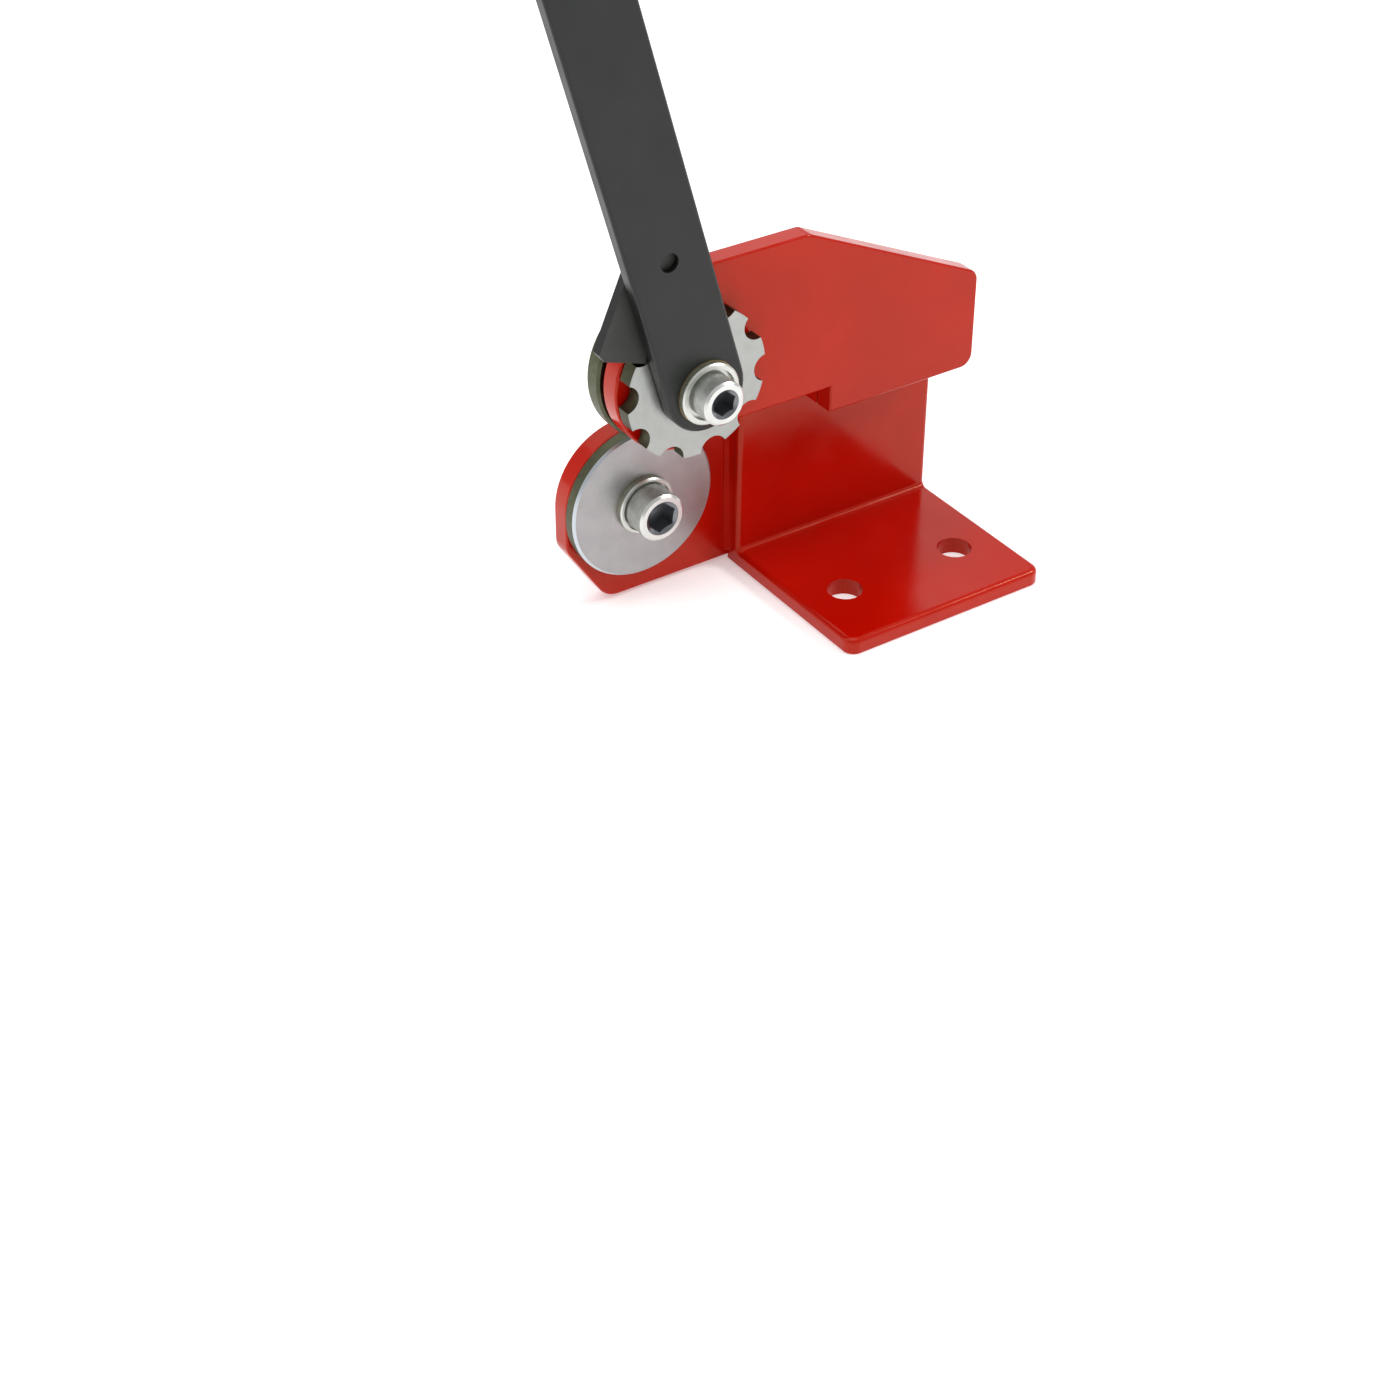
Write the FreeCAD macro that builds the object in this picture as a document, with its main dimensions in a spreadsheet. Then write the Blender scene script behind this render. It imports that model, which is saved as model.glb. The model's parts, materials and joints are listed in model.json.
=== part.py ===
import FreeCAD, Part
import math
import os
import Sketcher

# A hand-lever rotary shear for sheet metal.
# A foot angle stands on the bench. A lower arm behind its leg and an upper arm in front of it carry two
# cutter wheels, whose facing sides meet in one vertical cutting plane. A flat lever swings on the upper
# shaft, and its pawl turns a ratchet wheel that is keyed to the same shaft as the upper cutter wheel.
#
# Row frame, in millimetres: the origin is midway between the two foot holes on the foot's underside,
# +X runs along the frame away from the wheels, +Y points from the operator to the rear, +Z is up.

# ---------------------------------------------------------------- driving dimensions

DIMENSIONS = [
    # foot angle
    ("bolt_spacing", 50.0, "centre distance of the two foot holes"),
    ("bolt_hole_r", 6.5, "radius of a foot hole"),
    ("angle_left_x", -43.3, "left end of the angle"),
    ("angle_length", 86.5, "length of the angle along X"),
    ("angle_leg", 76.2, "width of each leg of the angle"),
    ("angle_thick", 6.35, "thickness of the angle"),
    ("angle_root_r", 2.0, "inner root radius"),
    ("angle_toe_r", 2.0, "rounding of the foot's upper edges"),
    ("angle_corner_r", 4.5, "radius of the foot's corners seen from above"),
    ("lead_z", 62.5, "height where the leg's lead-in chamfer starts"),
    # cutting plane and wheels
    ("cut_y", 41.4, "cutting plane, which is the front of the angle's upright leg"),
    ("cut_gap", 0.3, "gap between the two wheels along Y"),
    ("wheel_r", 28.9, "radius of a cutter wheel"),
    ("wheel_chamfer", 0.9, "chamfer on a cutter wheel's rim"),
    ("lower_axis_x", -83.8, "axle of the lower wheel"),
    ("lower_axis_z", 41.2, "axle of the lower wheel"),
    ("upper_axis_x", -77.0, "drive shaft"),
    ("upper_axis_z", 97.9, "drive shaft"),
    ("arm_end_r", 28.0, "round end of each arm, a little smaller than its wheel"),
    ("arm_thick", 8.0, "thickness of both arm plates"),
    ("paint_edge_r", 0.8, "rounding of the painted plates' edges"),
    # lower arm
    ("lower_right_x", 38.0, "right end of the lower arm"),
    ("lower_bottom_z", 1.8, "bottom edge of the lower arm"),
    ("lower_slope_x", -95.6, "where the sloping corner meets the bottom edge"),
    ("lower_slope_z", 26.6, "where the sloping corner meets the left edge"),
    ("lower_slope_r", 9.0, "rounding at both ends of the sloping corner"),
    # upper arm and spacer
    ("upper_front_y", 24.9, "front face of the upper arm"),
    ("upper_top_z", 136.9, "top edge of the upper arm"),
    ("upper_apex_x", -27.0, "where the top edge starts to fall"),
    ("upper_right_x", 48.5, "right edge of the upper arm"),
    ("upper_corner_z", 102.2, "height of the right edge's upper corner"),
    ("upper_low_z", 64.4, "bottom edge right of the step"),
    ("upper_high_z", 74.5, "bottom edge left of the step"),
    ("step_x", -15.8, "step in the bottom edge"),
    ("upper_corner_r", 5.0, "rounding of the upper arm's corners"),
    ("spacer_height", 30.0, "height of the spacer block"),
    ("weld_leg", 3.5, "leg length of a fillet weld"),
    ("weld_end_gap", 4.0, "distance of a weld from the end of its seam"),
    ("seam_leg", 2.4, "leg length of the upright weld at the left end of the angle"),
    # lower axle
    ("lower_wheel_thick", 5.0, "lower wheel"),
    ("lower_bush_r", 8.0, "outside of the lower wheel's bush"),
    ("lower_washer_r", 12.0, "thrust washer behind the lower wheel"),
    ("lower_nut_af", 19.0, "lock nut across flats"),
    ("lower_nut_height", 12.0, "lock nut"),
    ("nut_ring_r", 8.0, "locking ring at the end of the nut"),
    ("nut_ring_height", 3.0, "locking ring at the end of the nut"),
    ("nut_standout", 1.5, "how far the screw stands out of the nut"),
    # cap screws and the cupped collars under their heads
    ("axle_screw_r", 6.0, "shank of the lower axle's screw"),
    ("axle_head_r", 9.0, "head of the lower axle's screw"),
    ("axle_head_height", 11.4, "head of the lower axle's screw"),
    ("axle_hex_af", 10.0, "its hexagon socket across flats"),
    ("axle_collar_r", 11.0, "collar under its head"),
    ("axle_cup_r", 9.7, "cup in that collar"),
    ("shaft_screw_r", 5.0, "shank of the drive shaft's two screws"),
    ("shaft_head_r", 8.0, "head of the drive shaft's screws"),
    ("shaft_head_height", 9.7, "head of the drive shaft's screws"),
    ("shaft_hex_af", 8.0, "their hexagon sockets across flats"),
    ("shaft_collar_r", 11.3, "collar under each head"),
    ("shaft_cup_r", 9.4, "cup in that collar"),
    ("collar_thick", 2.5, "every collar"),
    ("cup_depth", 1.8, "the cup in every collar"),
    ("collar_edge", 0.5, "chamfer on a collar's outer rim"),
    ("head_chamfer", 0.8, "rim of a screw's head"),
    ("hex_turn", 20.0, "turn of every hexagon from its level position"),
    ("hex_mouth_depth", 0.9, "countersunk mouth of a socket"),
    ("hex_mouth_width", 0.8, "how far the mouth is wider than the hexagon's corners"),
    ("hex_depth", 6.0, "hexagon socket"),
    ("shaft_screw_depth", 13.5, "how far a screw goes into the drive shaft"),
    # drive shaft
    ("upper_wheel_thick", 6.5, "upper wheel"),
    ("shaft_r", 9.5, "drive shaft"),
    ("running_gap", 0.05, "radial clearance of a running fit"),
    ("side_gap", 0.1, "side clearance of a running fit"),
    ("shaft_bush_r", 13.0, "outside of the bush in the upper arm"),
    ("shaft_flange_r", 15.0, "flange of that bush, which keeps the upper wheel off the arm"),
    ("shaft_flange_thick", 1.55, "flange of that bush"),
    ("key_width", 4.0, "parallel keys"),
    ("key_inner_r", 7.6, "bottom of a key in the shaft"),
    ("key_outer_r", 11.4, "top of a key in the hub"),
    # ratchet
    ("ratchet_front_y", 18.1, "front face of the ratchet wheel"),
    ("ratchet_thick", 5.8, "ratchet wheel"),
    ("ratchet_r", 27.6, "tips of the teeth"),
    ("notch_count", 10, "notches in the rim"),
    ("notch_r", 5.2, "each notch is a round scallop"),
    ("notch_centre_r", 28.4, "distance of a scallop's centre from the shaft"),
    ("notch_angle", 140.0, "direction of the notch that the pawl sits in, from +X towards +Z"),
    # lever, in its own frame: the shaft is the origin and the bar runs up
    ("lever_front_y", 11.9, "front face of the bar"),
    ("lever_thick", 6.0, "bar"),
    ("lever_width", 30.0, "bar"),
    ("lever_length", 430.0, "from the shaft to the end of the bar"),
    ("lever_lean", 16.2, "lean of the bar to the left at rest"),
    ("lever_edge_r", 1.2, "edges of the bar"),
    ("lever_bush_r", 11.5, "outside of the bush in the bar"),
    ("grip_length", 115.0, "grip"),
    ("grip_wall", 2.6, "grip"),
    ("grip_open_r", 2.4, "edges of the grip"),
    # pawl, in the lever's frame
    ("pawl_gap", 0.3, "gap between the bar and the pawl"),
    ("pawl_thick", 4.0, "pawl"),
    ("pawl_pin_up", 53.6, "pivot pin above the shaft"),
    ("pawl_boss_r", 9.4, "round top of the pawl"),
    ("pawl_apex_x", -7.2, "where the sloping back leaves the boss"),
    ("pawl_apex_z", 59.6, "where the sloping back leaves the boss"),
    ("pawl_back_x", -30.4, "widest point of the pawl"),
    ("pawl_back_z", 31.6, "widest point of the pawl"),
    ("pawl_heel_x", -29.4, "lower left corner"),
    ("pawl_heel_z", 28.3, "lower left corner"),
    ("pawl_nose_x", -15.6, "tip of the nose"),
    ("pawl_nose_z", 18.8, "tip of the nose"),
    ("pawl_throat_x", -12.9, "where the nose meets the straight front"),
    ("pawl_throat_z", 26.6, "where the nose meets the straight front"),
    ("pawl_front_x", 7.1, "where the straight front meets the boss"),
    ("pawl_front_z", 47.4, "where the straight front meets the boss"),
    ("pin_r", 3.4, "pivot pin"),
    ("pin_recess", 2.4, "pin end below the bar's front face"),
    ("pin_tail", 5.6, "pin behind the pawl"),
    ("ring_r", 5.2, "retaining ring"),
    ("ring_thick", 0.8, "retaining ring"),
    ("ring_groove_r", 2.8, "groove for the ring"),
    ("ring_inset", 1.0, "pin behind the ring"),
    ("spring_r", 4.3, "pawl spring, to the middle of its wire"),
    ("spring_wire_r", 0.45, "pawl spring wire"),
    ("spring_joint_r", 0.46, "balls that join the spring's legs, a little thicker than its wire"),
    ("spring_pitch", 1.0, "pawl spring"),
    ("spring_turns", 2.5, "pawl spring"),
    ("spring_stop_x", 10.5, "spring stop pin, beside the pivot pin"),
    ("spring_stop_up", 64.0, "spring stop pin above the shaft"),
    ("spring_stop_r", 1.5, "spring stop pin"),
    ("spring_hook_x", -8.0, "where the spring enters the pawl"),
    ("spring_hook_up", 43.0, "where the spring enters the pawl"),
    ("spring_hole_r", 0.75, "hole for the spring in the pawl"),
    ("spring_hook_depth", 2.0, "how far the spring enters the pawl"),
    ("spring_hole_depth", 2.5, "hole for the spring in the pawl"),
]

LOWER_AXIS = ("dims.lower_axis_x", "dims.lower_axis_z")
UPPER_AXIS = ("dims.upper_axis_x", "dims.upper_axis_z")
NO_AXIS = ("0", "0")

CLOSE = 0.01

doc = FreeCAD.newDocument("rotary_shear")
dims = doc.addObject("Spreadsheet::Sheet", "dims")
size = {}
for row, (alias, value, note) in enumerate(DIMENSIONS, start=1):
    dims.set(f"A{row}", alias)
    dims.set(f"B{row}", str(value))
    dims.set(f"C{row}", note)
    dims.setAlias(f"B{row}", alias)
    size[alias] = value
doc.recompute()

nodes = []


# ---------------------------------------------------------------- helpers

def new_body(name, axis=NO_AXIS):
    """A body whose origin lies on the given axis (X and Z), at Y = 0."""
    body = doc.addObject("PartDesign::Body", name)
    body.Label = name
    body.setExpression("Placement.Base.x", axis[0])
    body.setExpression("Placement.Base.z", axis[1])
    nodes.append(body)
    return body


def new_lever_body(name):
    """A body in the lever's own frame: the shaft is its origin and the bar runs up its Z axis."""
    body = new_body(name, UPPER_AXIS)
    body.Placement.Rotation = FreeCAD.Rotation(FreeCAD.Vector(0, -1, 0), size["lever_lean"])
    body.setExpression("Placement.Rotation.Angle", "dims.lever_lean * 1 deg")
    return body


def new_sketch(body, plane, offset="0"):
    """A sketch on one of the body's own planes, moved along that plane's normal.

    On XZ_Plane the sketch's axes are X and Z, and its normal points to the front, -Y.
    """
    sketch = body.newObject("Sketcher::SketchObject", body.Name + "_sketch")
    support = [part for part in body.Origin.OriginFeatures if part.Role == plane][0]
    sketch.AttachmentSupport = [(support, "")]
    sketch.MapMode = "FlatFace"
    sketch.setExpression("AttachmentOffset.Base.z", f"({offset}) * 1 mm")
    return sketch


def pin_point(sketch, item, point, across, up, start):
    """Hold one point of the sketch at two expressions, measured from the sketch's origin."""
    for kind, axis, expression, value in (("DistanceX", -2, across, start.x), ("DistanceY", -1, up, start.y)):
        if expression == "0":
            sketch.addConstraint(Sketcher.Constraint("PointOnObject", item, point, axis))
        else:
            index = sketch.addConstraint(Sketcher.Constraint(kind, -1, 1, item, point, value))
            sketch.setExpression(f"Constraints[{index}]", f"({expression}) * 1 mm")


def draw_polygon(sketch, corners):
    """A closed outline of straight edges. It starts as a ring, and each corner is pinned to its place."""
    count = len(corners)
    phase = 0.3
    start = []
    for i in range(count):
        angle = phase + 2 * math.pi * i / count
        start.append(FreeCAD.Vector(math.cos(angle), math.sin(angle), 0))
    for i in range(count):
        sketch.addGeometry(Part.LineSegment(start[i], start[(i + 1) % count]))
    for i in range(count):
        sketch.addConstraint(Sketcher.Constraint("Coincident", i, 2, (i + 1) % count, 1))
    for i, (across, up) in enumerate(corners):
        pin_point(sketch, i, 1, across, up, start[i])


def draw_circle(sketch, radius, across="0", up="0"):
    """A circle whose centre is at two expressions. A centre on an axis of the sketch is put on that axis."""
    start = FreeCAD.Vector(1, 1, 0)
    item = sketch.addGeometry(Part.Circle(start, FreeCAD.Vector(0, 0, 1), 1))
    index = sketch.addConstraint(Sketcher.Constraint("Radius", item, 1.0))
    sketch.setExpression(f"Constraints[{index}]", f"({radius}) * 1 mm")
    pin_point(sketch, item, 3, across, up, start)


def draw_hexagon(sketch, across_flats):
    """A regular hexagon about the sketch's origin."""
    corner = f"({across_flats}) / sqrt(3)"
    corners = []
    for i in range(6):
        direction = f"(dims.hex_turn + {60 * i}) * 1 deg"
        corners.append((f"{corner} * cos({direction})", f"{corner} * sin({direction})"))
    draw_polygon(sketch, corners)


def pad(body, sketch, length):
    feature = body.newObject("PartDesign::Pad", body.Name + "_pad")
    feature.Profile = sketch
    feature.setExpression("Length", length)


def pocket(body, sketch, length, reverse=False):
    """Cut a sketch into the body. It cuts against the sketch's normal, or along it when reversed."""
    doc.recompute()
    before = body.Shape.Volume
    feature = body.newObject("PartDesign::Pocket", body.Name + "_pocket")
    feature.Profile = sketch
    feature.setExpression("Length", length)
    feature.Reversed = reverse
    doc.recompute()
    if not 0 < body.Shape.Volume < before:
        raise RuntimeError(f"a pocket in {body.Label} cuts nothing, or everything")
    return feature


def plate(name, corners, rear, thick, axis=NO_AXIS):
    """A flat piece with straight edges in the XZ plane, from its rear face towards the front."""
    body = new_body(name, axis)
    sketch = new_sketch(body, "XZ_Plane", f"-({rear})")
    draw_polygon(sketch, corners)
    pad(body, sketch, thick)
    return body


def drill(body, radius, rear, length, across="0", up="0"):
    """A round hole along Y that starts at the given rear end and goes towards the front."""
    sketch = new_sketch(body, "XZ_Plane", f"-({rear})")
    draw_circle(sketch, radius, across, up)
    pocket(body, sketch, length, reverse=True)


def turned(name, axis, profile):
    """A piece turned about an axis along Y. The profile's points are a radius and a Y."""
    body = new_body(name, axis)
    turn(body, profile)
    return body


def turn(body, profile):
    sketch = new_sketch(body, "XY_Plane")
    draw_polygon(sketch, profile)
    feature = body.newObject("PartDesign::Revolution", body.Name + "_turn")
    feature.Profile = sketch
    feature.ReferenceAxis = (sketch, ["V_Axis"])
    feature.Angle = 360


def tube_profile(inner, outer, front, rear):
    return [(inner, front), (outer, front), (outer, rear), (inner, rear)]


def edges_through(shape, test):
    return [f"Edge{i}" for i, edge in enumerate(shape.Edges, start=1) if test(edge)]


def dress(body, kind, edges, amount, value):
    """A fillet or chamfer on the named edges of the body's present shape."""
    base = body.Tip
    feature = body.newObject("PartDesign::" + kind, body.Name + "_" + kind.lower())
    feature.Base = (base, edges)
    feature.setExpression(value, amount)
    doc.recompute()


def is_cross_edge(edge, x, z):
    """True for a straight edge along Y at this X and Z of the body's own frame."""
    middle = edge.valueAt((edge.FirstParameter + edge.LastParameter) / 2)
    along_y = edge.BoundBox.XLength < CLOSE and edge.BoundBox.ZLength < CLOSE
    return along_y and abs(middle.x - x) < CLOSE and abs(middle.z - z) < CLOSE


def round_corners(body, spots, radius):
    """Round the corners of a plate that stand at these X and Z."""
    doc.recompute()
    shape = body.Tip.Shape
    edges = []
    for x, z in spots:
        edges += edges_through(shape, lambda edge: is_cross_edge(edge, x, z))
    if len(edges) != len(spots):
        raise RuntimeError(f"{body.Label}: {len(edges)} corners found of {len(spots)}")
    dress(body, "Fillet", edges, radius, "Radius")


def soften_outline(body, faces_y, radius):
    """Round the edges of a plate's outline on its flat faces, and leave its round holes sharp."""
    doc.recompute()
    shape = body.Tip.Shape
    edges = []
    for y in faces_y:
        for face in shape.Faces:
            if abs(face.BoundBox.YMin - y) < CLOSE and abs(face.BoundBox.YMax - y) < CLOSE:
                for edge in face.OuterWire.Edges:
                    edges += edges_through(shape, lambda other: other.isSame(edge))
    dress(body, "Fillet", sorted(set(edges)), radius, "Radius")


# ---------------------------------------------------------------- frame

def angle_bracket():
    """Rolled steel angle: the foot lies on the bench, and the upright leg's front is the cutting plane."""
    body = new_body("angle_bracket")
    leg_back = "dims.cut_y + dims.angle_thick"
    foot_front = "dims.cut_y + dims.angle_thick - dims.angle_leg"
    sketch = new_sketch(body, "YZ_Plane", "dims.angle_left_x")
    draw_polygon(sketch, [
        (foot_front, "0"),
        (leg_back, "0"),
        (leg_back, "dims.angle_leg"),
        ("dims.cut_y", "dims.angle_leg"),
        ("dims.cut_y", "dims.angle_thick"),
        (foot_front, "dims.angle_thick"),
    ])
    pad(body, sketch, "dims.angle_length")
    doc.recompute()
    front_y = size["cut_y"] + size["angle_thick"] - size["angle_leg"]
    round_long_edge(body, size["cut_y"], size["angle_thick"], "dims.angle_root_r")
    round_foot_corners(body, front_y)
    round_long_edge(body, front_y, size["angle_thick"], "dims.angle_toe_r")
    round_long_edge(body, front_y, 0, "dims.paint_edge_r")
    cut_lead_in(body)
    for side in ("-", ""):
        hole = new_sketch(body, "XY_Plane", "0")
        draw_circle(hole, "dims.bolt_hole_r", f"{side}dims.bolt_spacing / 2")
        pocket(body, hole, "dims.angle_thick", reverse=True)


def round_long_edge(body, y, z, radius):
    """Round one edge of the angle that runs along X, and the edges that flow on from it."""
    def at_place(edge):
        box = edge.BoundBox
        along_x = box.XLength > size["angle_length"] / 2
        return along_x and abs(box.YMin - y) < CLOSE and abs(box.ZMin - z) < CLOSE
    dress(body, "Fillet", edges_through(body.Tip.Shape, at_place), radius, "Radius")


def round_foot_corners(body, front_y):
    """Round the two front corners of the foot, seen from above."""
    def upright(edge):
        box = edge.BoundBox
        return box.XLength < CLOSE and box.YLength < CLOSE and abs(box.YMin - front_y) < CLOSE
    dress(body, "Fillet", edges_through(body.Tip.Shape, upright), "dims.angle_corner_r", "Radius")


def cut_lead_in(body):
    """Chamfer the leg's upper left corner, so that the rear strip of sheet can climb over the leg."""
    sketch = new_sketch(body, "XZ_Plane", "-(dims.cut_y + dims.angle_thick)")
    draw_polygon(sketch, [
        ("dims.angle_left_x", "dims.lead_z"),
        ("dims.step_x", "dims.angle_leg"),
        ("dims.step_x", "dims.angle_leg + dims.angle_thick"),
        ("dims.angle_left_x - dims.angle_thick", "dims.angle_leg + dims.angle_thick"),
        ("dims.angle_left_x - dims.angle_thick", "dims.lead_z"),
    ])
    pocket(body, sketch, "dims.angle_thick", reverse=True)


def lower_arm_plate():
    """Plate behind the upright leg. Its round end is centred on the lower axle."""
    front = "dims.cut_y + dims.angle_thick"
    left = "dims.lower_axis_x - dims.arm_end_r"
    top = "dims.lower_axis_z + dims.arm_end_r"
    body = plate("lower_arm_plate", [
        (left, top),
        ("dims.lower_right_x", top),
        ("dims.lower_right_x", "dims.lower_bottom_z"),
        ("dims.lower_slope_x", "dims.lower_bottom_z"),
        (left, "dims.lower_slope_z"),
    ], front + " + dims.arm_thick", "dims.arm_thick")
    left_x = size["lower_axis_x"] - size["arm_end_r"]
    top_z = size["lower_axis_z"] + size["arm_end_r"]
    round_corners(body, [(left_x, top_z)], "dims.arm_end_r")
    slope = [(left_x, size["lower_slope_z"]), (size["lower_slope_x"], size["lower_bottom_z"])]
    round_corners(body, slope, "dims.lower_slope_r")
    front_y = size["cut_y"] + size["angle_thick"]
    soften_outline(body, [front_y, front_y + size["arm_thick"]], "dims.paint_edge_r")
    drill(body, "dims.axle_screw_r", front + " + dims.arm_thick", "dims.arm_thick", *LOWER_AXIS)


def upper_arm_plate():
    """Plate in front of the spacer. Its round end is centred on the drive shaft."""
    rear = "dims.upper_front_y + dims.arm_thick"
    corner_run = "dims.arm_end_r * cos(45 deg)"
    top_left = "dims.upper_axis_x + dims.upper_top_z - dims.upper_axis_z - dims.arm_end_r / cos(45 deg)"
    body = plate("upper_arm_plate", [
        ("dims.upper_axis_x", "dims.upper_high_z"),
        ("dims.step_x", "dims.upper_high_z"),
        ("dims.step_x", "dims.upper_low_z"),
        ("dims.upper_right_x", "dims.upper_low_z"),
        ("dims.upper_right_x", "dims.upper_corner_z"),
        ("dims.upper_apex_x", "dims.upper_top_z"),
        (top_left, "dims.upper_top_z"),
        ("dims.upper_axis_x - " + corner_run, "dims.upper_axis_z + " + corner_run),
    ], rear, "dims.arm_thick")
    end = new_sketch(body, "XZ_Plane", f"-({rear})")
    draw_circle(end, "dims.arm_end_r", *UPPER_AXIS)
    pad(body, end, "dims.arm_thick")
    right_corners = [
        (size["upper_right_x"], size["upper_low_z"]),
        (size["upper_right_x"], size["upper_corner_z"]),
        (size["upper_apex_x"], size["upper_top_z"]),
    ]
    round_corners(body, right_corners, "dims.upper_corner_r")
    soften_outline(body, [size["upper_front_y"], size["upper_front_y"] + size["arm_thick"]],
                   "dims.paint_edge_r")
    drill(body, "dims.shaft_bush_r", rear, "dims.arm_thick", *UPPER_AXIS)


def spacer_block():
    """Block that holds the upper arm in front of the leg, so that its rear is the cutting plane."""
    rear = "dims.cut_y"
    right = "dims.angle_left_x + dims.angle_length"
    plate("spacer_block", [
        ("dims.step_x", "dims.upper_low_z"),
        (right, "dims.upper_low_z"),
        (right, "dims.upper_low_z + dims.spacer_height"),
        ("dims.step_x", "dims.upper_low_z + dims.spacer_height"),
    ], rear, "dims.cut_y - dims.upper_front_y - dims.arm_thick")


def fillet_weld(body, start_x, end_x, y, z):
    """One weld bead along X in the corner at Y and Z. It grows to the rear and upwards from there."""
    sketch = new_sketch(body, "YZ_Plane", start_x)
    draw_polygon(sketch, [
        (y, z),
        (f"{y} + dims.weld_leg", z),
        (y, f"{z} + dims.weld_leg"),
    ])
    pad(body, sketch, f"{end_x} - ({start_x})")


def upper_frame_weld():
    """Bead between the top of the upright leg and the rear of the spacer."""
    body = new_body("upper_frame_weld")
    right = "dims.angle_left_x + dims.angle_length - dims.weld_end_gap"
    fillet_weld(body, "dims.step_x + dims.weld_end_gap", right, "dims.cut_y", "dims.angle_leg")


def spacer_weld():
    """Bead between the top of the spacer and the rear of the upper arm."""
    body = new_body("spacer_weld")
    right = "dims.angle_left_x + dims.angle_length - dims.weld_end_gap"
    top = "dims.upper_low_z + dims.spacer_height"
    rear = "dims.upper_front_y + dims.arm_thick"
    fillet_weld(body, "dims.step_x + dims.weld_end_gap", right, rear, top)


def lower_frame_weld():
    """Bead between the back of the upright leg and the top edge of the lower arm."""
    body = new_body("lower_frame_weld")
    back = "dims.cut_y + dims.angle_thick"
    top = "dims.lower_axis_z + dims.arm_end_r"
    fillet_weld(body, "dims.step_x", "dims.lower_right_x - dims.weld_end_gap", back, top)


def seam_weld():
    """Upright bead between the left end of the angle's leg and the front of the lower arm."""
    body = new_body("seam_weld")
    seam_y = "dims.cut_y + dims.angle_thick"
    sketch = new_sketch(body, "XY_Plane", "dims.weld_end_gap")
    draw_polygon(sketch, [
        ("dims.angle_left_x", seam_y),
        ("dims.angle_left_x - dims.seam_leg", seam_y),
        ("dims.angle_left_x", f"{seam_y} - dims.seam_leg"),
    ])
    pad(body, sketch, "dims.lower_axis_z + dims.arm_end_r - 2 * dims.weld_end_gap")


# ---------------------------------------------------------------- cap screws

def cap_screw(name, axis, kind, front, shank_rear):
    """Socket head cap screw along Y. The head's face is at `front` and the shank ends at `shank_rear`.

    `kind` is the first word of the screw's dimensions, such as axle or shaft.
    """
    head_r = f"dims.{kind}_head_r"
    screw_r = f"dims.{kind}_screw_r"
    seat = f"{front} + dims.{kind}_head_height"
    body = turned(name, axis, [
        ("0", front),
        (f"{head_r} - dims.head_chamfer", front),
        (head_r, f"{front} + dims.head_chamfer"),
        (head_r, seat),
        (screw_r, seat),
        (screw_r, shank_rear),
        ("0", shank_rear),
    ])
    across_flats = f"dims.{kind}_hex_af"
    socket = new_sketch(body, "XZ_Plane", f"-({front})")
    draw_hexagon(socket, across_flats)
    pocket(body, socket, "dims.hex_depth")
    cut_socket_mouth(body, front, across_flats)
    return body


def cut_socket_mouth(body, front, across_flats):
    """Countersink the mouth of the hexagon socket."""
    sketch = new_sketch(body, "XY_Plane")
    draw_polygon(sketch, [
        ("0", front),
        (f"{across_flats} / sqrt(3) + dims.hex_mouth_width", front),
        (f"{across_flats} / 2", f"{front} + dims.hex_mouth_depth"),
        ("0", f"{front} + dims.hex_mouth_depth"),
    ])
    groove = body.newObject("PartDesign::Groove", body.Name + "_mouth")
    groove.Profile = sketch
    groove.ReferenceAxis = (sketch, ["V_Axis"])
    groove.Angle = 360


def cupped_collar(name, axis, kind, rear):
    """Round collar with a shallow cup in its front, where the screw's head sits."""
    outer = f"dims.{kind}_collar_r"
    bore = f"dims.{kind}_screw_r"
    cup = f"dims.{kind}_cup_r"
    front = f"{rear} - dims.collar_thick"
    cup_floor = f"{front} + dims.cup_depth"
    return turned(name, axis, [
        (bore, cup_floor),
        (cup, cup_floor),
        (cup, front),
        (f"{outer} - dims.collar_edge", front),
        (outer, f"{front} + dims.collar_edge"),
        (outer, rear),
        (bore, rear),
    ])


def turn_to_rear(body):
    """Turn a screw or a collar round, so that its head looks to the rear. It was drawn mirrored in Y."""
    body.Placement.Rotation = FreeCAD.Rotation(FreeCAD.Vector(0, 0, 1), 180)


# ---------------------------------------------------------------- lower axle

LOWER_WHEEL_REAR = "dims.cut_y + dims.lower_wheel_thick"
LEG_BACK = "dims.cut_y + dims.angle_thick"
LOWER_COLLAR_REAR = "dims.cut_y - dims.side_gap"


def lower_cutter_wheel():
    """Disc that turns freely on its bush. Its front face is the cutting plane."""
    bore = "dims.lower_bush_r + dims.running_gap"
    turned("lower_cutter_wheel", LOWER_AXIS, [
        (bore, "dims.cut_y"),
        ("dims.wheel_r - dims.wheel_chamfer", "dims.cut_y"),
        ("dims.wheel_r", "dims.cut_y + dims.wheel_chamfer"),
        ("dims.wheel_r", LOWER_WHEEL_REAR),
        (bore, LOWER_WHEEL_REAR),
    ])


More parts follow.
